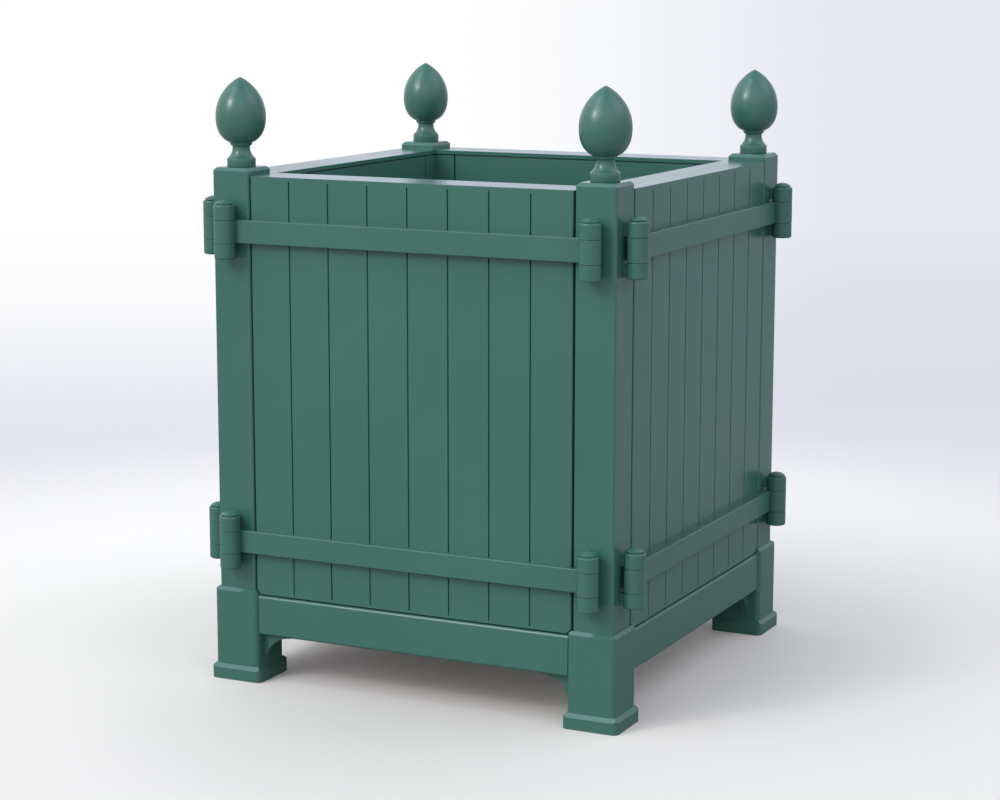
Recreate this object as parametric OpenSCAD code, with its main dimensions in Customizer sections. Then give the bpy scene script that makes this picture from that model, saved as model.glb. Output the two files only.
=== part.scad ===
// Square planter box with a post at each corner and four side panels on lift-out hinge pins.
// Millimetres, +Z up, the front towards -Y. The origin is on the ground under the middle.
// The box is the same on all four sides, so each piece is drawn once, for the front side or for the
// front left corner, and turned about Z to its own place.

/* [Box] */
// Width and depth over the outer faces of the posts
box_w = 600; // [480:5:760]
// Height of the top of the posts
post_top = 718; // [600:1:900]
// How far the posts rise above the rim
post_rise = 10; // [8:1:30]

/* [Posts] */
// Side of a post
post_w = 57.5; // [54:0.5:66]
// Rounding of a post's long edges
post_round = 3; // [1:0.5:5]
// Chamfer round the top of a post
post_chamfer = 4.5; // [2:0.5:6]

/* [Shoes] */
// Height of a shoe's sleeve above the ground
shoe_h = 131.5; // [127:0.5:150]
// Wall of the sleeve round the post
shoe_wall = 6; // [5:0.5:8]
// Rounding of the sleeve's upright edges
shoe_round = 7; // [4:0.5:9]
// Chamfer round the top of the sleeve
shoe_chamfer = 4.5; // [2:0.5:4.5]
// Height of the foot block under the sleeve
foot_h = 21.5; // [16:0.5:32]
// How far the foot block stands out all round the sleeve
foot_out = 5; // [3:0.5:10]
// Rounding of the foot block's upright edges
foot_round = 8; // [4:0.5:12]
// Chamfer round the top of the foot block
foot_chamfer = 5.5; // [3:0.5:7]
// Thickness of the shoe's floor under the post
shoe_floor = 8; // [5:1:12]
// Clearance between post and sleeve
socket_fit = 0.2; // [0.1:0.05:0.3]

/* [Bottom rails] */
// Height of a rail
rail_h = 56.5; // [44:0.5:60]
// Thickness of a rail
rail_t = 30; // [24:1:34]
// How far a rail stands in front of the posts
rail_out = 2.5; // [1:0.5:4.5]
// Chamfer along the top front edge of a rail
rail_chamfer = 2.4; // [1:0.2:4]
// Rounding of the bottom front edge of a rail
rail_under = 4; // [1:0.5:6]
// Gap between a rail and the panel above it
rail_gap = 2; // [2:0.5:6]
// How far the ledge inside a rail lies below the rail's top
ledge_drop = 17; // [12:1:24]
// Width of the ledge inside a rail
ledge_w = 26; // [18:1:30]
// Thickness of the ledge inside a rail
ledge_t = 8; // [5:1:12]

/* [Rail brackets] */
// Radius of a bracket's hollow curve
bracket_r = 42.5; // [30:0.5:60]
// Depth of a bracket's blunt end under the rail
bracket_land = 4; // [3:0.5:14]
// Thickness of a bracket
bracket_t = 10; // [8:1:14]
// How far a bracket is set back from the rail's face
bracket_set = 13; // [8:0.5:17]
// Thickness of a bracket where it runs down the shoe
bracket_leg = 1; // [0.8:0.2:4]
// Gap between a bracket and the foot block
bracket_gap = 2; // [1:0.5:4]

/* [Side panels] */
// Thickness of a panel's board
board_t = 30; // [22:1:32]
// Gap between a board and the posts
board_gap = 2.5; // [2.5:0.5:5]
// How far the boards hang below the tops of the shoes
board_drop = 5; // [2:0.5:8]
// Rounding of a board's upright front edges
board_round = 1.5; // [0.5:0.5:3]
// Number of strips that the grooves divide a board into
strip_count = 8; // [4:1:12]
// Width of a groove
groove_w = 2; // [1.5:0.5:4]
// Depth of a groove
groove_depth = 3; // [2:0.5:6]
// Distance from a board's top edge to its grooves
groove_top = 5.6; // [3:0.2:20]
// Distance from a board's bottom edge to its grooves
groove_bottom = 3.6; // [3:0.2:20]

/* [Straps and hinges] */
// Height of a strap and of the eyes at its ends
strap_h = 31.5; // [24:0.5:40]
// Thickness of a strap
strap_t = 12; // [8:0.5:14]
// Bevel along the front edges of a strap
strap_bevel = 1; // [0.5:0.25:2]
// Distance from a board's edge to the middle of a strap
strap_inset = 75; // [60:1:120]
// Radius of a hinge barrel
barrel_r = 14.5; // [12:0.5:16]
// Gap between a hinge barrel and the post
barrel_gap = 3.1; // [2.5:0.1:6]
// Rounding of a hinge eye's edge where it meets another eye
eye_bevel = 0.6; // [0.3:0.1:1]
// Rounding of a barrel's edge at its top and bottom
barrel_round = 2.4; // [0.6:0.2:3]
// Height of the eyes above and below a strap
eye_h = 21; // [16:1:28]
// Gap between two eyes
eye_gap = 0.4; // [0.3:0.1:1]
// Distance from a board's edge to where the back of a strap is set off from the post
set_off_in = 2; // [1:0.5:6]
// Width of the lug that holds an eye to the post
lug_w = 12; // [8:1:18]
// Height of the lug that holds an eye to the post
lug_h = 15.5; // [10:0.5:16]
// Radius of the spigot behind a lug, in the post
spigot_r = 4; // [3:0.5:5]
// Length of the spigot behind a lug
spigot_l = 20; // [14:1:20]
// Clearance round a spigot in the post
spigot_fit = 0.1; // [0.05:0.05:0.3]

/* [Hinge pins] */
// Radius of a pin
pin_r = 5; // [4:0.5:6.5]
// Running clearance round a pin
pin_fit = 0.05; // [0.02:0.01:0.1]
// Radius of a pin's domed head
head_r = 12.2; // [9:0.2:12.6]
// Height of a pin's domed head
head_h = 5; // [3:0.5:8]
// Upright edge under the dome
head_edge = 0.6; // [0.4:0.2:1.6]
// Radius of the neck that holds a head off its barrel
head_neck_r = 10; // [7:0.5:11]
// Height of the neck that holds a head off its barrel
head_lift = 1.1; // [0.5:0.1:2]
// How far a pin ends above the bottom of its barrel
pin_short = 1.5; // [0.5:0.5:5]

/* [Lining and rim] */
// Thickness of the lining angles and of the lining walls between them
lining_t = 6; // [4:0.5:10]
// Width of a lining angle's leg, seen from inside
angle_leg = 32; // [24:1:60]
// Gap between a lining wall and the angles
lining_gap = 2.5; // [1:0.5:5]
// Thickness of the tongue of a lining wall behind the angles
tongue_t = 6; // [4:0.5:8]
// Gap between a tongue's ends and the posts
tongue_fit = 1; // [0.5:0.5:3]
// Height of the shadow gap under the rim
shadow_gap = 2; // [1:0.5:5]
// Thickness of the rim
rim_t = 5.5; // [4:0.5:12]
// Gap between the rim and a panel
rim_gap = 0.5; // [0.3:0.1:1.5]
// Clearance between the rim and the posts
rim_fit = 0.3; // [0.2:0.1:0.5]

/* [Floor] */
// Thickness of a floor board
floor_t = 12; // [8:1:20]
// Number of floor boards
floor_count = 6; // [4:1:8]
// Drain gap between two floor boards
drain_gap = 6; // [3:1:12]
// Width of a floor bearer
bearer_w = 30; // [20:1:45]
// Distance from the ends of the floor boards to the middle of the outer floor bearers
bearer_inset = 62; // [40:1:120]
// Gap between a shoe's top and the floor
floor_clear = 0.5; // [0.5:0.5:5]
// Gap between the floor and the posts, and between the inner floor boards and the lining
floor_fit = 0.5; // [0.3:0.1:2]

/* [Finials] */
// Height of a finial above the post
finial_h = 121.5; // [100:0.5:150]
// Largest radius of the acorn
acorn_r = 34.3; // [28:0.1:40]
// Height of the acorn's widest place above the post
acorn_mid = 68; // [60:1:75]
// Length that the acorn's lower curve would have down to its axis
acorn_drop = 37.5; // [37:0.5:39]
// Radius of the disc under a finial
disc_r = 19.6; // [17:0.2:26]
// Height of the disc under a finial
disc_h = 11.6; // [8:0.2:12]
// Radius of the neck at its narrowest
neck_r = 12; // [9:0.5:14]
// Height of the neck's narrowest place above the post
neck_mid = 26; // [24.5:0.5:27]
// Radius of the collar under the acorn
collar_r = 15.2; // [14.6:0.2:16]
// Height of the collar's underside above the post
collar_low = 28.3; // [28:0.1:29]
// Height of the collar's sloped lower edge
collar_edge = 2.2; // [1.6:0.1:2.6]
// Radius of the dowel under a finial
dowel_r = 6; // [4:0.5:9]
// Length of the dowel under a finial
dowel_l = 30; // [20:1:45]
// Clearance round a dowel in the post
dowel_fit = 0.1; // [0.05:0.05:0.3]
// Space left in the post under a dowel
dowel_space = 1; // [0.5:0.5:4]

/* [Hidden] */
$fn = 64;

PAINT = [0.28, 0.43, 0.39];
DEEP_PAINT = [0.18, 0.36, 0.31];
TIMBER = [0.50, 0.41, 0.30];

// Turns from the front side, or from the front left corner
FRONT = 0;
RIGHT = FRONT + 90;
REAR = RIGHT + 90;
LEFT = REAR + 90;
LEFT_EDGE = -1;
RIGHT_EDGE = 1;

half = box_w / 2;
post_mid = half - post_w / 2;
post_in = half - post_w;
shoe_w = post_w + 2 * shoe_wall;
foot_w = shoe_w + 2 * foot_out;
shoe_in = post_mid - shoe_w / 2;

board_top = post_top - post_rise;
board_half = post_in - board_gap;
board_low = shoe_h - board_drop;
board_h = board_top - board_low;
board_back = half - board_t;
strip_w = 2 * board_half / strip_count;
// The board's lower corners are cut to follow the chamfer round the top of the shoes.
corner_cut = board_drop + shoe_wall - shoe_chamfer;

rail_top = board_low - rail_gap;
rail_low = rail_top - rail_h;
rail_face = half + rail_out;
rail_back = rail_face - rail_t;

strap_low = board_low + strap_inset;
strap_high = board_top - strap_inset;
hinge_out = barrel_gap + barrel_r;
hinge_y = half + hinge_out;
eye_step = strap_h / 2 + eye_gap + eye_h / 2;
barrel_h = strap_h + 2 * (eye_h + eye_gap);
relief_x = board_half - set_off_in;

lining_in = post_in - lining_t;
angle_end = lining_in - angle_leg;
wall_half = angle_end - lining_gap;
tongue_half = post_in - tongue_fit;
rim_low = board_top - rim_t;
lining_top = rim_low - shadow_gap;
rim_out = board_back - rim_gap;

floor_low = shoe_h + floor_clear;
floor_top = floor_low + floor_t;
floor_half = post_in - floor_fit;
inner_floor_half = lining_in - floor_fit;
floor_strip = (2 * floor_half + drain_gap) / floor_count - drain_gap;
ledge_top = rail_top - ledge_drop;
bearer_half = board_back - rim_gap;

acorn_top = finial_h - acorn_mid;
acorn_upper_power = 2.2;
acorn_upper_root = 0.8;
acorn_lower_power = 2.25;
acorn_lower_root = 0.4;
acorn_steps = 16;
cove_steps = 8;
overlap = 1;

// A square of side w, centred, with corners of radius r
module rounded_square(w, r) {
    square([w, w - 2 * r], center = true);
    square([w - 2 * r, w], center = true);
    for (x = [-1, 1]) {
        for (y = [-1, 1]) {
            translate([x * (w / 2 - r), y * (w / 2 - r)]) circle(r);
        }
    }
}

// The outline of a block of width w and height h with its two top corners cut off
module chamfered_outline(w, h, c) {
    polygon([
        [-w / 2, 0],
        [w / 2, 0],
        [w / 2, h - c],
        [w / 2 - c, h],
        [c - w / 2, h],
        [-w / 2, h - c]
    ]);
}

// A square block standing at z = 0 with rounded upright edges and a chamfer round its top
module chamfered_block(w, h, r, c) {
    intersection() {
        linear_extrude(h) rounded_square(w, r);
        rotate([90, 0, 0]) linear_extrude(w, center = true) chamfered_outline(w, h, c);
        rotate([90, 0, 90]) linear_extrude(w, center = true) chamfered_outline(w, h, c);
    }
}

// Places a piece of the front left corner
module at_corner() {
    translate([-post_mid, -post_mid, 0]) children();
}

// The rounded edge of a hinge eye, as points of radius r from the barrel's side to the eye's end
function eye_edge(r) = [for (a = [0:30:90]) [barrel_r - r + r * cos(a), r - r * sin(a)]];

// A hinge eye on the Z axis, standing at z = 0, with its own rounding at the bottom and at the top
module eye(h, low_round, high_round) {
    low_edge = eye_edge(low_round);
    high_edge = [for (p = eye_edge(high_round)) [p[0], h - p[1]]];
    rotate_extrude() polygon(concat(
        [[pin_r + pin_fit, h], [pin_r + pin_fit, 0]],
        [for (i = [3:-1:0]) low_edge[i]],
        high_edge
    ));
}

// The heights of the middles of the four eyes on one face of a post
function eye_mids() = [for (z = [strap_low, strap_high], side = [-1, 1]) z + side * eye_step];

module post(turn) {
    color(PAINT) rotate(turn) at_corner() difference() {
        translate([0, 0, shoe_floor]) chamfered_block(post_w, post_top - shoe_floor, post_round, post_chamfer);
        translate([0, 0, post_top - dowel_l - dowel_space])
            cylinder(h = dowel_l + dowel_space + overlap, r = dowel_r + dowel_fit);
        for (z = eye_mids(), face = [0, -90]) {
            rotate(face) translate([0, -post_w / 2 - overlap, z]) rotate([-90, 0, 0])
                cylinder(h = spigot_l + 2 * overlap, r = spigot_r + spigot_fit);
        }
    }
}

module shoe(turn) {
    color(PAINT) rotate(turn) at_corner() difference() {
        union() {
            chamfered_block(foot_w, foot_h, foot_round, foot_chamfer);
            chamfered_block(shoe_w, shoe_h, shoe_round, shoe_chamfer);
        }
        translate([0, 0, shoe_floor]) linear_extrude(shoe_h)
            rounded_square(post_w + 2 * socket_fit, post_round + socket_fit);
    }
}

// Radius of the acorn at t, from 0 at its widest place to 1 on its axis
function acorn_curve(t, power, root) = acorn_r * pow(1 - pow(t, power), root);

// The hollow curve between disc and collar is an arc through the disc's edge and the neck.
function cove_radius(rise, run) = (rise * rise + run * run) / (2 * run);

module finial(turn) {
    cove_r = cove_radius(neck_mid - disc_h, disc_r - neck_r);
    cove_start = asin((neck_mid - disc_h) / cove_r);
    cove_end = asin((collar_low - neck_mid) / cove_r);
    cove = [for (i = [0:cove_steps]) let (a = -cove_start + (cove_start + cove_end) * i / cove_steps)
        [neck_r + cove_r * (1 - cos(a)), neck_mid + cove_r * sin(a)]];
    // The lower curve starts where it is as wide as the collar.
    lower_end = pow(1 - pow(collar_r / acorn_r, 1 / acorn_lower_root), 1 / acorn_lower_power);
    lower = [for (i = [0:acorn_steps - 1]) let (t = lower_end * cos(90 * i / acorn_steps))
        [acorn_curve(t, acorn_lower_power, acorn_lower_root), acorn_mid - t * acorn_drop]];
    upper = [for (i = [0:acorn_steps - 1]) let (t = sin(90 * i / acorn_steps))
        [acorn_curve(t, acorn_upper_power, acorn_upper_root), acorn_mid + t * acorn_top]];
    // The collar's lower edge turns in over two short slopes.
    collar = [
        [collar_r - 0.55 * collar_edge, collar_low + 0.4 * collar_edge],
        [collar_r - 0.1 * collar_edge, collar_low + collar_edge]
    ];
    color(PAINT) rotate(turn) at_corner() translate([0, 0, post_top]) rotate_extrude()
        polygon(concat(
            [[0, -dowel_l], [dowel_r, -dowel_l], [dowel_r, 0], [disc_r, 0]],
            cove, collar, lower, upper, [[0, finial_h]]
        ));
}

// One eye with its lug and its spigot, on the front face of the front left post. The eye below a
// strap has its barrel's rounded end at the bottom, the eye above it at the top.
module post_eye(z) {
    lug_depth = barrel_gap + barrel_r / 2;
    below = z < strap_low || (z > (strap_low + strap_high) / 2 && z < strap_high);
    translate([0, -post_w / 2 - hinge_out, z - eye_h / 2])
        eye(eye_h, below ? barrel_round : eye_bevel, below ? eye_bevel : barrel_round);
    translate([-lug_w / 2, -post_w / 2 - lug_depth, z - lug_h / 2]) cube([lug_w, lug_depth, lug_h]);
    translate([0, -post_w / 2 - overlap, z]) rotate([-90, 0, 0])
        cylinder(h = spigot_l + overlap, r = spigot_r);
}

module hinge_eyes(turn) {
    color(PAINT) rotate(turn) at_corner() for (z = eye_mids(), face = [0, -90]) {
        rotate(face) post_eye(z);
    }
}

module bottom_rail(turn) {
    // Seen from the right end, y across and z up
    section = [
        [-rail_face, rail_low + rail_under],
        [-rail_face + rail_under, rail_low],
        [-rail_back, rail_low],
        [-rail_back, ledge_top - ledge_t],
        [-rail_back + ledge_w, ledge_top - ledge_t],
        [-rail_back + ledge_w, ledge_top],
        [-rail_back, ledge_top],
        [-rail_back, rail_top],
        [-rail_face + rail_chamfer, rail_top],
        [-rail_face, rail_top - rail_chamfer]
    ];
    color(PAINT) rotate(turn) rotate([90, 0, 90]) linear_extrude(2 * shoe_in, center = true) {
        polygon(section);
        translate([-rail_face + rail_under, rail_low + rail_under]) circle(rail_under);
    }
}

// The bracket at the left end of the front rail
module rail_bracket() {
    curve_z = rail_low - bracket_land - bracket_r;
    foot = max(foot_h + bracket_gap, curve_z);
    translate([-shoe_in, -rail_face + bracket_set, 0]) rotate([90, 0, 0])
        translate([0, 0, -bracket_t]) linear_extrude(bracket_t) difference() {
            translate([0, foot]) square([bracket_leg + bracket_r, rail_low - foot]);
            translate([bracket_leg + bracket_r, curve_z]) circle(bracket_r, $fn = 128);
        }
}

module rail_brackets() {
    color(PAINT) for (turn = [FRONT, RIGHT, REAR, LEFT]) {
        rotate(turn) rail_bracket();
        rotate(turn) mirror([1, 0, 0]) rail_bracket();
    }
}

module panel_board(turn) {
    color(PAINT) rotate(turn) difference() {
        translate([0, 0, board_low]) linear_extrude(board_h) union() {
            translate([-board_half, -half + board_round]) square([2 * board_half, board_t - board_round]);
            translate([-board_half + board_round, -half])
                square([2 * (board_half - board_round), board_round]);
            for (x = [-1, 1]) {
                translate([x * (board_half - board_round), -half + board_round]) circle(board_round);
            }
        }
        for (i = [1:strip_count - 1]) {
            translate([-board_half + i * strip_w, -half, 0]) groove();
        }
        for (x = [-1, 1]) {
            translate([x * board_half, -half + board_t / 2, board_low]) corner_wedge(-x);
        }
    }
}

// Cuts off a board's lower corner at 45 degrees: inwards is 1 for the left end, -1 for the right
module corner_wedge(inwards) {
    past = corner_cut + overlap;
    rotate([90, 0, 0]) linear_extrude(board_t + 2 * overlap, center = true) polygon([
        [-inwards * overlap, -overlap],
        [inwards * past, -overlap],
        [-inwards * overlap, past]
    ]);
}

// A groove with round ends, as a cutter leaves it
module groove() {
    low = board_low + groove_bottom + groove_w / 2;
    high = board_top - groove_top - groove_w / 2;
    translate([-groove_w / 2, -overlap, low]) cube([groove_w, groove_depth + overlap, high - low]);
    for (z = [low, high]) {
        translate([0, -overlap, z]) rotate([-90, 0, 0])
            cylinder(h = groove_depth + overlap, r = groove_w / 2);
    }
}

// A strap with an eye at each end. Its back is set off from the posts, past the board's edges.
module strap(turn, z) {
    section = [
        [-half, 0],
        [-half, strap_h],
        [-half - strap_t + strap_bevel, strap_h],
        [-half - strap_t, strap_h - strap_bevel],
        [-half - strap_t, strap_bevel],
        [-half - strap_t + strap_bevel, 0]
    ];
    color(PAINT) rotate(turn) translate([0, 0, z - strap_h / 2]) {
        difference() {
            rotate([90, 0, 90]) linear_extrude(2 * post_mid, center = true) polygon(section);
            for (x = [-1, 1]) {
                translate([x * post_mid, -hinge_y, -overlap])
                    cylinder(h = strap_h + 2 * overlap, r = barrel_r - overlap);
                translate([x * (relief_x + post_w / 2), -half - barrel_gap / 2, strap_h / 2])
                    cube([post_w, barrel_gap, strap_h + 2 * overlap], center = true);
            }
        }
        for (x = [-1, 1]) {
            translate([x * post_mid, -hinge_y, 0]) eye(strap_h, eye_bevel, eye_bevel);
        }
    }
}

module upper_strap(turn) {
    strap(turn, strap_high);
}

module lower_strap(turn) {
    strap(turn, strap_low);
}

// The pin of one hinge: turn picks the side, edge its left or right edge, z the strap's height.
// The neck under its head rests on the topmost eye.
module hinge_pin(turn, edge, z) {
    cap = head_h - head_edge;
    dome_r = (head_r * head_r + cap * cap) / (2 * cap);
    top = barrel_h / 2;
    color(PAINT) rotate(turn) translate([edge * post_mid, -hinge_y, z]) {
        translate([0, 0, pin_short - top]) cylinder(h = barrel_h - pin_short + overlap, r = pin_r);
        translate([0, 0, top]) cylinder(h = head_lift + overlap, r = head_neck_r);
        translate([0, 0, top + head_lift]) intersection() {
            cylinder(h = head_h, r = head_r);
            translate([0, 0, head_h - dome_r]) sphere(dome_r, $fn = 96);
        }
    }
}

// Each angle stands on the floor in the inner corner of a post.
module lining_angles() {
    leg = post_in - angle_end;
    color(DEEP_PAINT) for (turn = [FRONT, RIGHT, REAR, LEFT]) {
        rotate(turn) translate([-post_in, -post_in, floor_top]) linear_extrude(lining_top - floor_top)
            difference() {
                square(leg);
                translate([lining_t, lining_t]) square(leg);
            }
    }
}

// A lining wall with a tongue on its back, caught behind the angles and carrying the rim
module lining_wall(turn) {
    color(DEEP_PAINT) rotate(turn) {
        translate([-wall_half, -post_in, floor_top])
            cube([2 * wall_half, lining_t, lining_top - floor_top]);
        translate([-tongue_half, -post_in - tongue_t, floor_top])
            cube([2 * tongue_half, tongue_t, rim_low - floor_top]);
    }
}

// A rim strip fills the top between two posts and is mitred round their inner corners.
module rim_strip(turn) {
    between = post_in - rim_fit;
    color(PAINT) rotate(turn) translate([0, 0, rim_low]) linear_extrude(rim_t) polygon([
        [-between, -rim_out],
        [between, -rim_out],
        [between, -between],
        [lining_in, -lining_in],
        [-lining_in, -lining_in],
        [-between, -between]
    ]);
}

module floor_bearers() {
    bearer_h = floor_low - ledge_top;
    color(TIMBER) for (x = [bearer_inset - floor_half, 0, floor_half - bearer_inset]) {
        translate([x - bearer_w / 2, -bearer_half, ledge_top]) cube([bearer_w, 2 * bearer_half, bearer_h]);
    }
}

// The first and last board carry the lining. The boards between them lift out inside it.
module floor_boards() {
    color(TIMBER) for (i = [0:floor_count - 1]) {
        reach = i == 0 || i == floor_count - 1 ? floor_half : inner_floor_half;
        translate([-reach, -floor_half + i * (floor_strip + drain_gap), floor_low])
            cube([2 * reach, floor_strip, floor_t]);
    }
}

post(FRONT);  // post_front_left
post(RIGHT);  // post_front_right
post(REAR);  // post_rear_right
post(LEFT);  // post_rear_left
shoe(FRONT);  // shoe_front_left
shoe(RIGHT);  // shoe_front_right
shoe(REAR);  // shoe_rear_right
shoe(LEFT);  // shoe_rear_left
finial(FRONT);  // finial_front_left
finial(RIGHT);  // finial_front_right
finial(REAR);  // finial_rear_right
finial(LEFT);  // finial_rear_left
hinge_eyes(FRONT);  // hinge_eyes_front_left
hinge_eyes(RIGHT);  // hinge_eyes_front_right
hinge_eyes(REAR);  // hinge_eyes_rear_right
hinge_eyes(LEFT);  // hinge_eyes_rear_left
bottom_rail(FRONT);  // bottom_rail_front
bottom_rail(RIGHT);  // bottom_rail_right
bottom_rail(REAR);  // bottom_rail_rear
bottom_rail(LEFT);  // bottom_rail_left
rail_brackets();
lining_angles();
floor_bearers();
floor_boards();
lining_wall(FRONT);  // lining_wall_front
lining_wall(RIGHT);  // lining_wall_right
lining_wall(REAR);  // lining_wall_rear
lining_wall(LEFT);  // lining_wall_left
rim_strip(FRONT);  // rim_strip_front
rim_strip(RIGHT);  // rim_strip_right
rim_strip(REAR);  // rim_strip_rear
rim_strip(LEFT);  // rim_strip_left
panel_board(FRONT);  // panel_board_front
panel_board(RIGHT);  // panel_board_right
panel_board(REAR);  // panel_board_rear
panel_board(LEFT);  // panel_board_left
upper_strap(FRONT);  // upper_strap_front
upper_strap(RIGHT);  // upper_strap_right
upper_strap(REAR);  // upper_strap_rear
upper_strap(LEFT);  // upper_strap_left
lower_strap(FRONT);  // lower_strap_front
lower_strap(RIGHT);  // lower_strap_right
lower_strap(REAR);  // lower_strap_rear
lower_strap(LEFT);  // lower_strap_left
hinge_pin(FRONT, LEFT_EDGE, strap_high);  // pin_front_upper_left
hinge_pin(FRONT, RIGHT_EDGE, strap_high);  // pin_front_upper_right
hinge_pin(FRONT, LEFT_EDGE, strap_low);  // pin_front_lower_left
hinge_pin(FRONT, RIGHT_EDGE, strap_low);  // pin_front_lower_right
hinge_pin(RIGHT, LEFT_EDGE, strap_high);  // pin_right_upper_left
hinge_pin(RIGHT, RIGHT_EDGE, strap_high);  // pin_right_upper_right
hinge_pin(RIGHT, LEFT_EDGE, strap_low);  // pin_right_lower_left
hinge_pin(RIGHT, RIGHT_EDGE, strap_low);  // pin_right_lower_right
hinge_pin(REAR, LEFT_EDGE, strap_high);  // pin_rear_upper_left
hinge_pin(REAR, RIGHT_EDGE, strap_high);  // pin_rear_upper_right
hinge_pin(REAR, LEFT_EDGE, strap_low);  // pin_rear_lower_left
hinge_pin(REAR, RIGHT_EDGE, strap_low);  // pin_rear_lower_right
hinge_pin(LEFT, LEFT_EDGE, strap_high);  // pin_left_upper_left
hinge_pin(LEFT, RIGHT_EDGE, strap_high);  // pin_left_upper_right
hinge_pin(LEFT, LEFT_EDGE, strap_low);  // pin_left_lower_left
hinge_pin(LEFT, RIGHT_EDGE, strap_low);  // pin_left_lower_right
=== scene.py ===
import math

import bmesh
import bpy
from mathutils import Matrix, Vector


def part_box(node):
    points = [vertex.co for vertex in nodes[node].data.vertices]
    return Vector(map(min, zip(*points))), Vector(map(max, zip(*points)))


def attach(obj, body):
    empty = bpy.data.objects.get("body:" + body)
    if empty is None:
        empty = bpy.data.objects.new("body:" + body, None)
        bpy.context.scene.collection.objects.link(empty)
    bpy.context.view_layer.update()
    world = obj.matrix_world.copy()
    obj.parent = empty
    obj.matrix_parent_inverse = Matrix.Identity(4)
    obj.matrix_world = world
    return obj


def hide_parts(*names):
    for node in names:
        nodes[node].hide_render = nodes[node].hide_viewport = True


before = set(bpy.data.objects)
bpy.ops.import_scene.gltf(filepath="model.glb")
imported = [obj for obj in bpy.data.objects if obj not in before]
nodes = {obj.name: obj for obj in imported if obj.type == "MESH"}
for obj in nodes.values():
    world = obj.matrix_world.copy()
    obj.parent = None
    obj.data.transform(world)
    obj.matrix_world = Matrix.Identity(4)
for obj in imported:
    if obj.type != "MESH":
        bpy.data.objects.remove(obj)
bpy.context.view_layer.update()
print("frame loaded:", len(nodes), "CAD nodes")


# the camera, from the photograph's own perspective
cameraSettings = {
    "place": (1.526421, -3.149324, 0.990622),
    "turn": (79.969, -0.039, 26.011),  # degrees
    "lens": 88.682,  # millimetres
    "sensor": 36.0,
    "nearest": 0.05,  # metres from the camera
    "furthest": 250,
}


def makeCamera(settings):
    data = bpy.data.cameras.new("photoCamera")
    data.lens = settings["lens"]
    data.sensor_width = settings["sensor"]
    data.clip_start = settings["nearest"]
    data.clip_end = settings["furthest"]
    camera = bpy.data.objects.new("photoCamera", data)
    camera.location = settings["place"]
    camera.rotation_euler = [math.radians(angle) for angle in settings["turn"]]
    bpy.context.scene.collection.objects.link(camera)
    bpy.context.scene.camera = camera


makeCamera(cameraSettings)
bpy.context.scene.view_settings.view_transform = "Standard"
print("camera set")


# small helpers for node trees
def feed(tree, node, values):
    # a value is a number, a colour or another node's output
    for label, value in values.items():
        if isinstance(value, bpy.types.NodeSocket):
            tree.links.new(value, node.inputs[label])
        else:
            node.inputs[label].default_value = value


def addNode(tree, kind, at, values=None, **choices):
    # the choices come first, because some of them bring the sockets
    node = tree.nodes.new("ShaderNode" + kind)
    node.location = at
    for name, choice in choices.items():
        setattr(node, name, choice)
    feed(tree, node, values or {})
    return node


def addMath(tree, at, operation, *values):
    return addNode(tree, "Math", at, dict(enumerate(values)), operation=operation).outputs[0]


def addDot(tree, at, vector, along):
    node = addNode(tree, "VectorMath", at, {0: vector, 1: along}, operation="DOT_PRODUCT")
    return node.outputs["Value"]


def addRange(tree, at, value, reach, results=(0, 1), smooth=False):
    kind = "SMOOTHSTEP" if smooth else "LINEAR"
    node = addNode(tree, "MapRange", at, {"Value": value}, interpolation_type=kind)
    feed(tree, node, {"From Min": reach[0], "From Max": reach[1]})
    feed(tree, node, {"To Min": results[0], "To Max": results[1]})
    return node.outputs["Result"]


def addMix(tree, at, share, first, second, blend="MIX"):
    values = {"Factor": share, "A": first, "B": second}
    return addNode(tree, "Mix", at, values, data_type="RGBA", blend_type=blend).outputs["Result"]


def addNoise(tree, at, vector, scale, look):
    return addNode(tree, "TexNoise", at, {"Vector": vector, "Scale": scale, **look}).outputs


def addBump(tree, at, height, strength, depth):
    values = {"Height": height, "Strength": strength, "Distance": depth}
    return addNode(tree, "Bump", at, values).outputs["Normal"]


def newGroup(name, inputs, outputs):
    group = bpy.data.node_groups.new(name, "ShaderNodeTree")
    for label, kind, value in inputs:
        socket = group.interface.new_socket(label, in_out="INPUT", socket_type="NodeSocket" + kind)
        socket.default_value = value
    for label, kind in outputs:
        group.interface.new_socket(label, in_out="OUTPUT", socket_type="NodeSocket" + kind)
    start = group.nodes.new("NodeGroupInput")
    start.location = (-900, 0)
    end = group.nodes.new("NodeGroupOutput")
    end.location = (900, 0)
    return group, start.outputs, end


def newMaterial(name):
    material = bpy.data.materials.new(name)
    material.use_nodes = True
    return material, material.node_tree, material.node_tree.nodes["Principled BSDF"]


# a coat of satin paint: brush marks along the grain, a fine peel and slow drifts of colour
filmSettings = {
    "brush": {"Detail": 3, "Roughness": 0.6},
    "peel": {"Detail": 2},
    "drift": {"Detail": 3, "Roughness": 0.55},
    "driftReach": (0.3, 0.7),  # the noise's values between which the drift swings
    "brushThinning": 0.5,  # how far a brush mark thins the paint
}


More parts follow.
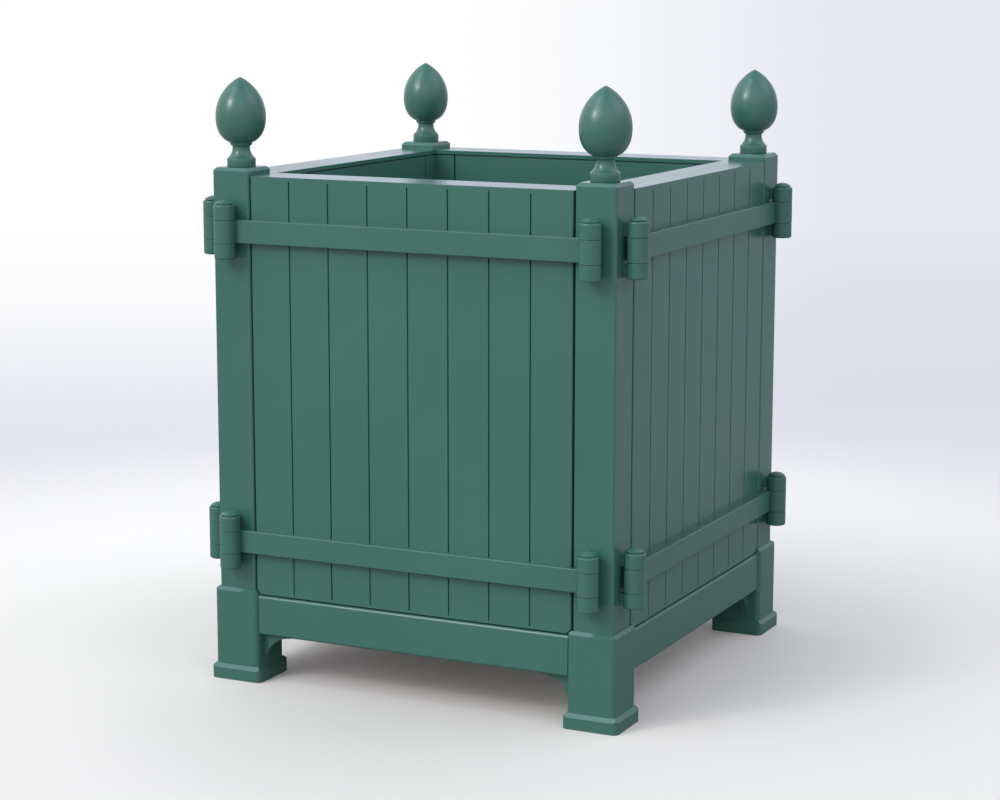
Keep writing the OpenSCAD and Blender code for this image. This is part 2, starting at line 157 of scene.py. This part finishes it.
def makePaintFilm(settings):
    group, given, end = newGroup(
        "paintFilm",
        [
            ("Paint", "Color", (0.04, 0.14, 0.1, 1)),
            ("Thin paint", "Color", (0.05, 0.16, 0.12, 1)),
            ("Brush scale", "Vector", (900, 900, 14)),
            ("Brush", "Float", 0.3),
            ("Peel scale", "Float", 700),
            ("Peel", "Float", 0.4),
            ("Drift scale", "Float", 5),
            ("Drift", "Float", 0.3),
            ("Gloss low", "Float", 0.3),
            ("Gloss high", "Float", 0.42),
        ],
        [("Color", "Color"), ("Roughness", "Float"), ("Height", "Float")],
    )
    place = addNode(group, "TexCoord", (-900, 300)).outputs["Object"]
    scaled = {0: place, 1: given["Brush scale"]}
    stretch = addNode(group, "VectorMath", (-700, 300), scaled, operation="MULTIPLY").outputs[0]
    brush = addNoise(group, (-500, 300), stretch, 1, settings["brush"])["Fac"]
    peel = addNoise(group, (-500, 60), place, given["Peel scale"], settings["peel"])["Fac"]
    drift = addNoise(group, (-500, -180), place, given["Drift scale"], settings["drift"])["Fac"]
    swing = addRange(group, (-440, -360), drift, settings["driftReach"])
    driftShare = addMath(group, (-280, -180), "MULTIPLY", swing, given["Drift"])
    brushShare = addMath(group, (-280, 220), "MULTIPLY", brush, given["Brush"])
    peelShare = addMath(group, (-280, 40), "MULTIPLY", peel, given["Peel"])
    thinning = settings["brushThinning"]
    thin = addMath(group, (-80, -100), "MULTIPLY_ADD", brushShare, thinning, driftShare)
    colour = addMix(group, (300, 120), thin, given["Paint"], given["Thin paint"])
    gloss = addRange(group, (300, -120), swing, (0, 1), (given["Gloss low"], given["Gloss high"]))
    height = addMath(group, (300, -380), "ADD", brushShare, peelShare)
    feed(group, end, {"Color": colour, "Roughness": gloss, "Height": height})
    return group


paintFilm = makePaintFilm(filmSettings)


# a thin film of dust that fades out above the floor
dustSettings = {
    "speckScale": 90,
    "specks": {"Detail": 5, "Roughness": 0.65},
    "speckReach": (0.38, 0.68),  # the noise's values between which the dust thickens
}


def makeGroundDust(settings):
    group, given, end = newGroup(
        "groundDust",
        [
            ("Color", "Color", (0.04, 0.14, 0.1, 1)),
            ("Roughness", "Float", 0.25),
            ("Dust", "Color", (0.3, 0.28, 0.24, 1)),
            ("Reach", "Float", 0.03),
            ("Amount", "Float", 0.1),
        ],
        [("Color", "Color"), ("Roughness", "Float")],
    )
    place = addNode(group, "TexCoord", (-900, 300)).outputs["Object"]
    height = addNode(group, "SeparateXYZ", (-700, 300), {"Vector": place}).outputs["Z"]
    fade = addRange(group, (-500, 300), height, (0, given["Reach"]), (1, 0), smooth=True)
    specks = addNoise(group, (-700, 0), place, settings["speckScale"], settings["specks"])["Fac"]
    patches = addRange(group, (-500, 0), specks, settings["speckReach"])
    share = addMath(group, (-300, 150), "MULTIPLY", fade, patches)
    film = addMath(group, (-100, 150), "MULTIPLY", share, given["Amount"])
    colour = addMix(group, (300, 150), film, given["Color"], given["Dust"])
    dull = addMath(group, (300, -100), "ADD", film, given["Roughness"])
    feed(group, end, {"Color": colour, "Roughness": dull})
    return group


groundDust = makeGroundDust(dustSettings)


def makePaint(name, settings):
    material, tree, shader = newMaterial(name)
    film = addNode(tree, "Group", (-500, 200), settings["film"], node_tree=paintFilm).outputs
    colour, roughness = film["Color"], film["Roughness"]
    if "dust" in settings:
        values = {"Color": colour, "Roughness": roughness, **settings["dust"]}
        dust = addNode(tree, "Group", (-250, 200), values, node_tree=groundDust).outputs
        colour, roughness = dust["Color"], dust["Roughness"]
    bump = addBump(tree, (-250, -200), film["Height"], settings["bump"], settings["bumpDepth"])
    feed(tree, shader, {"Base Color": colour, "Roughness": roughness, "Normal": bump})
    feed(tree, shader, {"IOR": settings["ior"]})
    return material


# the brush scale is small along the grain, and the gloss is a range of roughness: each range
# stays on one side of 0.274, where the denoiser changes its ways and would draw a line
timberPaint = {
    "ior": 1.5,
    "bump": 0.5,
    "bumpDepth": 0.0003,
    "film": {
        "Paint": (0.038, 0.1325, 0.0993, 1),
        "Thin paint": (0.0468, 0.154, 0.1178, 1),
        "Brush scale": (420, 420, 9),
        "Brush": 0.5,
        "Peel scale": 900,
        "Peel": 0.3,
        "Drift scale": 4,
        "Drift": 0.5,
        "Gloss low": 0.20,
        "Gloss high": 0.26,
    },
}
railPaint = {**timberPaint, "film": {**timberPaint["film"], "Brush scale": (9, 420, 420)}}
crossRailPaint = {**timberPaint, "film": {**timberPaint["film"], "Brush scale": (420, 9, 420)}}
liningPaint = {
    **timberPaint,
    "bump": 0.2,
    "bumpDepth": 0.0002,
    "film": {**timberPaint["film"], "Gloss low": 0.285, "Gloss high": 0.34},
}
ironPaint = {
    **timberPaint,
    "film": {
        **timberPaint["film"],
        "Brush scale": (260, 260, 260),
        "Brush": 0.2,
        "Peel scale": 650,
        "Peel": 0.7,
    },
}
strapPaint = {**ironPaint, "film": {**ironPaint["film"], "Gloss low": 0.285, "Gloss high": 0.33}}
shoePaint = {
    **ironPaint,
    "film": {**ironPaint["film"], "Gloss low": 0.19, "Gloss high": 0.235},
    "dust": {"Dust": (0.3, 0.28, 0.24, 1), "Reach": 0.026, "Amount": 0.035},
}

paintUpright = makePaint("paintUprightGrain", timberPaint)
paintAlong = makePaint("paintGrainAlongX", railPaint)
paintAcross = makePaint("paintGrainAlongY", crossRailPaint)
paintIron = makePaint("paintOnIron", ironPaint)
paintStrap = makePaint("paintOnStrap", strapPaint)
paintShoe = makePaint("paintOnShoe", shoePaint)
paintLining = makePaint("paintLining", liningPaint)
print("paint materials made")


# planed softwood: growth rings as contours of a long soft noise, crossed by fine fibres
timberSettings = {
    "growth": {"Detail": 1},
    "rings": 140,  # how closely the rings lie
    "fibreScale": 60,
    "fibres": {"Detail": 4},
    "fibreShade": 0.35,  # how far the fibres darken the rings
    "roughness": (0.55, 0.75),
    "bump": 0.3,
    "bumpDepth": 0.0004,
}
floorTimberSettings = {
    **timberSettings,
    "stretch": (1.1, 9, 9),  # small along the boards
    "early": (0.56, 0.40, 0.25, 1),
    "late": (0.36, 0.23, 0.13, 1),
}
bearerTimberSettings = {
    **timberSettings,
    "stretch": (9, 1.1, 9),
    "early": (0.54, 0.39, 0.25, 1),
    "late": (0.34, 0.22, 0.13, 1),
}


def makeTimber(name, settings):
    material, tree, shader = newMaterial(name)
    place = addNode(tree, "TexCoord", (-1200, 0)).outputs["Object"]
    scaled = {"Vector": place, "Scale": settings["stretch"]}
    stretch = addNode(tree, "Mapping", (-1000, 0), scaled).outputs["Vector"]
    growth = addNoise(tree, (-980, 250), stretch, 1, settings["growth"])["Fac"]
    years = addMath(tree, (-860, 250), "MULTIPLY", growth, settings["rings"])
    wave = addMath(tree, (-760, 250), "SINE", years)
    rings = addRange(tree, (-640, 250), wave, (-1, 1))
    ramp = addNode(tree, "ValToRGB", (-500, 150), {"Fac": rings})
    ramp.color_ramp.elements[0].color = settings["early"]
    ramp.color_ramp.elements[1].color = settings["late"]
    fibres = addNoise(tree, (-760, -150), stretch, settings["fibreScale"], settings["fibres"])
    shade = settings["fibreShade"]
    colour = addMix(tree, (-220, 100), shade, ramp.outputs["Color"], fibres["Color"], "MULTIPLY")
    rough = addRange(tree, (-220, -120), fibres["Fac"], (0, 1), settings["roughness"])
    bump = addBump(tree, (-220, -340), fibres["Fac"], settings["bump"], settings["bumpDepth"])
    feed(tree, shader, {"Base Color": colour, "Roughness": rough, "Normal": bump})
    return material


floorTimber = makeTimber("floorTimber", floorTimberSettings)
bearerTimber = makeTimber("bearerTimber", bearerTimberSettings)


# every CAD node takes a material for its own finish and the way its grain runs
def materialFor(name):
    if name == "floor_boards":
        return floorTimber
    if name == "floor_bearers":
        return bearerTimber
    if name.startswith("shoe_"):
        return paintShoe
    if "strap" in name:
        return paintStrap
    if name.startswith("lining_"):
        return paintLining
    if name.startswith(("bottom_rail_", "rim_strip_")):
        return paintAlong if name.endswith(("_front", "_rear")) else paintAcross
    if name.startswith(("post_", "panel_board_", "finial_")):
        return paintUpright
    return paintIron


for name, node in nodes.items():
    for materialSlot in node.material_slots:
        materialSlot.material = materialFor(name)
print("CAD nodes painted")


# small helpers for finer pieces
mergeDistance = 0.000002  # metres within which two vertices are one


def roundEdges(bm, edges, offset, segments):
    return bmesh.ops.bevel(
        bm,
        geom=edges,
        offset=offset,
        segments=segments,
        profile=0.5,
        affect="EDGES",
        material=-1,
    )


def newPiece(name, bm, body, replaced):
    mesh = bpy.data.meshes.new(name)
    bm.to_mesh(mesh)
    bm.free()
    piece = bpy.data.objects.new(name, mesh)
    bpy.context.scene.collection.objects.link(piece)
    mesh.materials.append(materialFor(replaced))
    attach(piece, body)
    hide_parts(replaced)


# turned acorn finials, spun in finer steps than the CAD's
finialSettings = {
    "height": 0.1215,  # above the post
    "acornRadius": 0.0343,
    "acornMid": 0.068,  # where it is widest
    "acornDrop": 0.0375,  # from there down to where its lower curve would close
    "lowerCurve": (2.25, 0.4),  # power and root
    "upperCurve": (2.2, 0.8),
    "acornSteps": 44,
    "discRadius": 0.0196,
    "discHeight": 0.0116,
    "neckRadius": 0.012,
    "neckMid": 0.026,  # where it is thinnest
    "coveSteps": 18,
    "collarRadius": 0.0152,
    "collarLow": 0.0283,
    "collarEdge": 0.0022,
    "collarRound": ((0.55, 0.4), (0.1, 1)),  # inwards and upwards, as shares of the collar's edge
    "dowelRadius": 0.006,
    "dowelLength": 0.03,
    "segments": 96,
    "sharpAngle": 0.6,  # radians from which an edge is rounded
    "edgeRound": 0.0006,
    "edgeSegments": 2,
}


def finialProfile(settings):
    # radius and height above the post, from the dowel's end up to the tip
    discRadius, discHeight = settings["discRadius"], settings["discHeight"]
    neckRadius, neckMid = settings["neckRadius"], settings["neckMid"]
    collarRadius, collarLow = settings["collarRadius"], settings["collarLow"]
    rise, run = neckMid - discHeight, discRadius - neckRadius
    coveRadius = (rise * rise + run * run) / (2 * run)
    start = math.asin(rise / coveRadius)
    end = math.asin((collarLow - neckMid) / coveRadius)
    points = [
        (0, -settings["dowelLength"]),
        (settings["dowelRadius"], -settings["dowelLength"]),
        (settings["dowelRadius"], 0),
        (discRadius, 0),
    ]
    for step in range(settings["coveSteps"] + 1):
        turn = -start + (start + end) * step / settings["coveSteps"]
        radius = neckRadius + coveRadius * (1 - math.cos(turn))
        points.append((radius, neckMid + coveRadius * math.sin(turn)))
    edge = settings["collarEdge"]
    for inwards, upwards in settings["collarRound"]:
        points.append((collarRadius - inwards * edge, collarLow + upwards * edge))
    steps, widest = settings["acornSteps"], settings["acornRadius"]
    power, root = settings["lowerCurve"]
    lowest = (1 - (collarRadius / widest) ** (1 / root)) ** (1 / power)
    for step in range(steps):
        share = lowest * math.cos(math.pi / 2 * step / steps)
        height = settings["acornMid"] - share * settings["acornDrop"]
        points.append((widest * (1 - share**power) ** root, height))
    power, root = settings["upperCurve"]
    for step in range(steps):
        share = math.sin(math.pi / 2 * step / steps)
        height = settings["acornMid"] + share * (settings["height"] - settings["acornMid"])
        points.append((widest * (1 - share**power) ** root, height))
    points.append((0, settings["height"]))
    return points


def makeFinial(name, settings):
    low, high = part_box(name)
    foot = Vector(((low[0] + high[0]) / 2, (low[1] + high[1]) / 2, high[2] - settings["height"]))
    profile = finialProfile(settings)
    bm = bmesh.new()
    points = [bm.verts.new(foot + Vector((radius, 0, height))) for radius, height in profile]
    edges = [bm.edges.new(pair) for pair in zip(points, points[1:])]
    bmesh.ops.spin(
        bm,
        geom=points + edges,
        cent=foot,
        axis=(0, 0, 1),
        angle=2 * math.pi,
        steps=settings["segments"],
        use_merge=True,
    )
    bmesh.ops.remove_doubles(bm, verts=bm.verts, dist=mergeDistance)
    bmesh.ops.recalc_face_normals(bm, faces=bm.faces)
    sharp = [
        edge
        for edge in bm.edges
        if len(edge.link_faces) == 2 and edge.calc_face_angle() > settings["sharpAngle"]
    ]
    roundEdges(bm, sharp, settings["edgeRound"], settings["edgeSegments"])
    for face in bm.faces:
        face.smooth = True
    newPiece(name + "_turned", bm, "frame", name)


for name in nodes:
    if name.startswith("finial_"):
        makeFinial(name, finialSettings)
print("finials turned")


# bottom rails with both edges of their top chamfer eased by sanding
railSettings = {
    "flat": 0.01,  # radians up to which two faces are one
    "reach": 0.004,  # how far below the rail's top the edges lie
    "angles": (0.6, 1.0),  # radians between the faces that meet there
    "shortest": 0.1,  # metres, so that the chamfer's ends stay sharp
    "offset": 0.0013,
    "segments": 3,
}


def makeRail(name, settings):
    bm = bmesh.new()
    bm.from_mesh(nodes[name].data)
    bmesh.ops.remove_doubles(bm, verts=bm.verts, dist=mergeDistance)
    bmesh.ops.dissolve_limit(bm, angle_limit=settings["flat"], verts=bm.verts, edges=bm.edges)
    bmesh.ops.recalc_face_normals(bm, faces=bm.faces)
    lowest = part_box(name)[1][2] - settings["reach"]
    least, most = settings["angles"]
    corners = [
        edge
        for edge in bm.edges
        if min(vertex.co.z for vertex in edge.verts) > lowest
        and len(edge.link_faces) == 2
        and least < edge.calc_face_angle() < most
        and edge.calc_length() > settings["shortest"]
    ]
    for face in bm.faces:
        face.smooth = False
    eased = roundEdges(bm, corners, settings["offset"], settings["segments"])
    for face in eased["faces"]:
        face.smooth = True
    print(name, len(corners), "edges eased,", len(bm.faces), "faces")
    newPiece(name + "_eased", bm, "frame", name)


for name in nodes:
    if name.startswith("bottom_rail_"):
        makeRail(name, railSettings)
print("rails eased")


# the floor turns into a pale backdrop, and the camera sees both in tones of their own
floorSettings = {
    "size": 120.0,
    "colour": (0.79, 0.775, 0.715),  # as the camera sees it
    "lift": 0.035,  # light added for the camera, so that shadows stay soft
    "paintedLightSlant": (-0.047, 0.116, 0),  # painted light: the tone's rise per metre across the floor
    "paintedLightSlantRange": (0.08, 0.917, 1.077),  # furthest rise either way, and the factors there
    "paintedShadowPlace": (0, -0.4, 0),  # painted shadow: a soft darker patch on the floor before the planter
    "paintedShadowReach": 0.5,
    "shade": 0.87,
    "bounce": (0.31, 0.30, 0.29, 1),  # as the planter sees it, so that little light rises
    "roughness": 0.6,
    "specular": 0.1,
    "across": (0.899, 0.438, 0),  # level directions across and along the photograph's view
    "along": (-0.438, 0.899, 0),
    "cameraBack": 3.5,  # metres from the middle back to the camera, along the view
    "slopes": (-0.03, 0.15),  # across over along, where the left sweep ends and the right starts
    "sideRange": (-2.5, -0.5),  # metres along the view over which the two sweeps part
    "fade": (0.8, 1.9),  # metres from the middle over which the floor turns into the backdrop
    "reach": 6.0,  # metres along the view up to a sweep's last colour
    "depths": (0.17, 0.25, 0.35, 0.63, 1.0),  # where a sweep's colours lie, as shares of the reach
    "leftSweep": (
        (0.80, 0.81, 0.85, 1),
        (0.785, 0.795, 0.86, 1),
        (0.80, 0.823, 0.88, 1),
        (0.965, 0.965, 0.98, 1),
        (1.0, 1.0, 1.0, 1),
    ),
    "rightSweep": (
        (0.75, 0.76, 0.80, 1),
        (0.742, 0.765, 0.838, 1),
        (0.705, 0.73, 0.82, 1),
        (0.727, 0.749, 0.836, 1),
        (0.79, 0.815, 0.875, 1),
    ),
    "glow": 0.55,  # the backdrop's own light as the planter sees it
}


def addFloorToneWithPaintedLight(tree, place, settings):
    # the floor's colour for the camera, with painted light lighter towards the rear left and a
    # painted shadow darker before the planter
    # painted light: the floor's tone rising towards the rear left
    rise = addDot(tree, (-900, 600), place, settings["paintedLightSlant"])
    furthest, lowest, highest = settings["paintedLightSlantRange"]
    paintedLightSlant = addRange(tree, (-700, 600), rise, (-furthest, furthest), (lowest, highest))
    # painted shadow on the floor, darkest at its place before the planter and fading out over its
    # reach
    ends = {0: place, 1: settings["paintedShadowPlace"]}
    apart = addNode(tree, "VectorMath", (-900, 800), ends, operation="DISTANCE").outputs["Value"]
    reach, results = (0, settings["paintedShadowReach"]), (settings["shade"], 1)
    shade = addRange(tree, (-700, 800), apart, reach, results, smooth=True)
    tone = addMath(tree, (-500, 600), "MULTIPLY", paintedLightSlant, shade)
    scaled = {0: settings["colour"], "Scale": tone}
    return addNode(tree, "VectorMath", (-350, 450), scaled, operation="SCALE").outputs["Vector"]


def addSweep(tree, at, farness, depths, colours):
    ramp = addNode(tree, "ValToRGB", at, {"Fac": farness})
    stops = ramp.color_ramp.elements
    for depth in depths[len(stops):]:
        stops.new(depth)
    for stop, depth, colour in zip(stops, depths, colours):
        stop.position = depth
        stop.color = colour
    return ramp.outputs["Color"]


def addBackdrop(tree, place, settings):
    # two sweeps of colour into the distance, one on each side of the view
    across = addDot(tree, (-1300, 0), place, settings["across"])
    along = addDot(tree, (-1300, -200), place, settings["along"])
    away = addMath(tree, (-1100, 0), "ADD", along, settings["cameraBack"])
    slope = addMath(tree, (-950, 0), "DIVIDE", across, away)
    side = addRange(tree, (-800, 200), slope, settings["slopes"], smooth=True)
    parting = addRange(tree, (-800, 400), along, settings["sideRange"], smooth=True)
    toRight = addMath(tree, (-650, 300), "MULTIPLY", side, parting)
    farness = addRange(tree, (-1100, -200), along, (0, settings["reach"]))
    left = addSweep(tree, (-800, -50), farness, settings["depths"], settings["leftSweep"])
    right = addSweep(tree, (-800, -300), farness, settings["depths"], settings["rightSweep"])
    return addMix(tree, (-500, 0), toRight, left, right)


def makeFloor(settings):
    bm = bmesh.new()
    bmesh.ops.create_grid(bm, x_segments=1, y_segments=1, size=settings["size"])
    mesh = bpy.data.meshes.new("studioFloor")
    bm.to_mesh(mesh)
    bm.free()
    floor = bpy.data.objects.new("studioFloor", mesh)
    bpy.context.scene.collection.objects.link(floor)
    material, tree, shader = newMaterial("studioFloor")
    place = addNode(tree, "TexCoord", (-1500, 0)).outputs["Object"]
    seen = addNode(tree, "LightPath", (-500, -300)).outputs["Is Camera Ray"]
    tone = addFloorToneWithPaintedLight(tree, place, settings)
    colour = addMix(tree, (-200, 250), seen, settings["bounce"], tone)
    lift = addMath(tree, (-200, 50), "MULTIPLY", seen, settings["lift"])
    feed(tree, shader, {"Base Color": colour, "Roughness": settings["roughness"]})
    feed(tree, shader, {"Specular IOR Level": settings["specular"]})
    feed(tree, shader, {"Emission Color": (1, 1, 1, 1), "Emission Strength": lift})
    strength = addRange(tree, (-300, -300), seen, (0, 1), (settings["glow"], 1))
    shining = {"Color": addBackdrop(tree, place, settings), "Strength": strength}
    backdrop = addNode(tree, "Emission", (-100, -200), shining).outputs["Emission"]
    reach = addNode(tree, "VectorMath", (-1300, 300), {0: place}, operation="LENGTH")
    fade = addRange(tree, (-1100, 300), reach.outputs["Value"], settings["fade"], smooth=True)
    both = addNode(tree, "MixShader", (200, 0), {0: fade, 1: shader.outputs["BSDF"], 2: backdrop})
    feed(tree, tree.nodes["Material Output"], {"Surface": both.outputs["Shader"]})
    mesh.materials.append(material)


makeFloor(floorSettings)


def direction(azimuth, elevation):
    # azimuth turns from the front towards the right side
    turn, rise = math.radians(azimuth), math.radians(elevation)
    level = math.cos(rise)
    return Vector((math.sin(turn) * level, -math.cos(turn) * level, math.sin(rise)))


# four rings of soft light, one above the other, each with its own colour in six directions
worldSettings = {
    "azimuths": (-150, -90, -30, 30, 90, 150),  # degrees from the front towards the right side
    "bands": (("mid", 8, 26), ("high", 40, 55), ("top", 66, 80)),  # degrees above the floor
    "low": (
        (1.09, 1.11, 1.30),
        (0.84, 0.83, 0.83),
        (0.90, 0.89, 0.90),
        (0.89, 0.89, 0.95),
        (0.84, 0.79, 0.83),
        (0.53, 0.61, 0.66),
    ),
    "mid": (
        (0.60, 0.58, 0.64),
        (1.15, 1.02, 1.06),
        (1.16, 1.10, 1.14),
        (1.38, 1.30, 1.42),
        (1.06, 1.05, 1.11),
        (0.73, 0.79, 0.86),
    ),
    "high": (
        (0.55, 0.58, 0.57),
        (0.48, 0.62, 0.67),
        (1.32, 1.19, 1.22),
        (0.76, 0.77, 0.88),
        (0.78, 0.83, 0.92),
        (0.68, 0.67, 0.67),
    ),
    "top": ((0.18, 0.36, 0.42),) * 6,  # the same in every direction
    "strength": 2.0,  # the brightest value that the ramps hold
    "seen": (0.80, 0.81, 0.85, 1),  # what the camera sees above the backdrop
    # soft patches of light: azimuth, elevation, inner and outer radius in degrees, added colour
    "patches": (
        (-29, 33, 5, 24, (3.2, 3.2, 3.5)),
        (-72, 60, 5, 30, (0.50, 0.60, 0.75)),
        (-48, 62, 4, 16, (1.10, 1.35, 1.55)),
        (110, 45, 5, 30, (0.60, 0.58, 0.86)),
        (-30, 11, 3, 14, (0.30, 0.34, 0.28)),
    ),
}


def addRing(tree, at, compass, colours, settings):
    ramp = addNode(tree, "ValToRGB", at, {"Fac": compass})
    ramp.color_ramp.interpolation = "EASE"
    tones = [[part / settings["strength"] for part in colour] for colour in colours]
    seam = [(first + last) / 2 for first, last in zip(tones[0], tones[-1])]
    stops = ramp.color_ramp.elements
    for stop in stops:
        stop.color = (*seam, 1)
    for azimuth, tone in zip(settings["azimuths"], tones):
        stops.new((azimuth + 180) / 360).color = (*tone, 1)
    return ramp.outputs["Color"]


def makeWorld(settings):
    world = bpy.data.worlds.new("studioWorld")
    bpy.context.scene.world = world
    world.use_nodes = True
    tree = world.node_tree
    place = addNode(tree, "TexCoord", (-1400, 0)).outputs["Generated"]
    parts = addNode(tree, "SeparateXYZ", (-1200, 0), {"Vector": place}).outputs
    ahead = addMath(tree, (-1000, 100), "MULTIPLY", parts["Y"], -1)
    turn = addMath(tree, (-800, 100), "ARCTAN2", parts["X"], ahead)
    compass = addRange(tree, (-600, 100), turn, (-math.pi, math.pi))
    rise = addMath(tree, (-800, -200), "ARCSINE", parts["Z"])
    light = addRing(tree, (-300, 300), compass, settings["low"], settings)
    for row, (label, start, end) in enumerate(settings["bands"]):
        y = -300 * row
        share = addRange(tree, (0, y), rise, (math.radians(start), math.radians(end)))
        ring = addRing(tree, (-300, y), compass, settings[label], settings)
        light = addMix(tree, (200, y), share, light, ring)
    for row, (azimuth, elevation, inner, outer, added) in enumerate(settings["patches"]):
        y = -300 * row
        near = addDot(tree, (400, y), place, direction(azimuth, elevation))
        reach = (math.cos(math.radians(outer)), math.cos(math.radians(inner)))
        share = addRange(tree, (600, y), near, reach, smooth=True)
        tone = (*[part / settings["strength"] for part in added], 1)
        light = addMix(tree, (800, y), share, light, tone, "ADD")
    shining = tree.nodes["Background"]
    feed(tree, shining, {"Color": light, "Strength": settings["strength"]})
    shining.location = (1000, 100)
    plain = addNode(tree, "Background", (1000, -100), {"Color": settings["seen"]})
    seen = addNode(tree, "LightPath", (1000, 500)).outputs["Is Camera Ray"]
    ends = {0: seen, 1: shining.outputs["Background"], 2: plain.outputs["Background"]}
    both = addNode(tree, "MixShader", (1200, 100), ends)
    end = tree.nodes["World Output"]
    end.location = (1400, 100)
    feed(tree, end, {"Surface": both.outputs["Shader"]})


makeWorld(worldSettings)


# one soft key light from the front left
softboxSettings = {
    "azimuth": -29,  # degrees
    "elevation": 33,
    "aim": (0, 0, 0.5),  # the point that it faces
    "distance": 4.0,  # from there
    "size": (0.7, 0.7),
    "radiance": 13,
    "colour": (0.97, 0.97, 1),
}


def makeSoftbox(name, settings):
    away = direction(settings["azimuth"], settings["elevation"])
    width, height = settings["size"]
    data = bpy.data.lights.new(name, "AREA")
    data.shape = "RECTANGLE"
    data.size = width
    data.size_y = height
    data.energy = settings["radiance"] * math.pi * width * height
    data.color = settings["colour"]
    light = bpy.data.objects.new(name, data)
    light.location = Vector(settings["aim"]) + away * settings["distance"]
    light.rotation_euler = away.to_track_quat("Z", "Y").to_euler()
    bpy.context.scene.collection.objects.link(light)


makeSoftbox("keySoftbox", softboxSettings)
print("floor and light made")
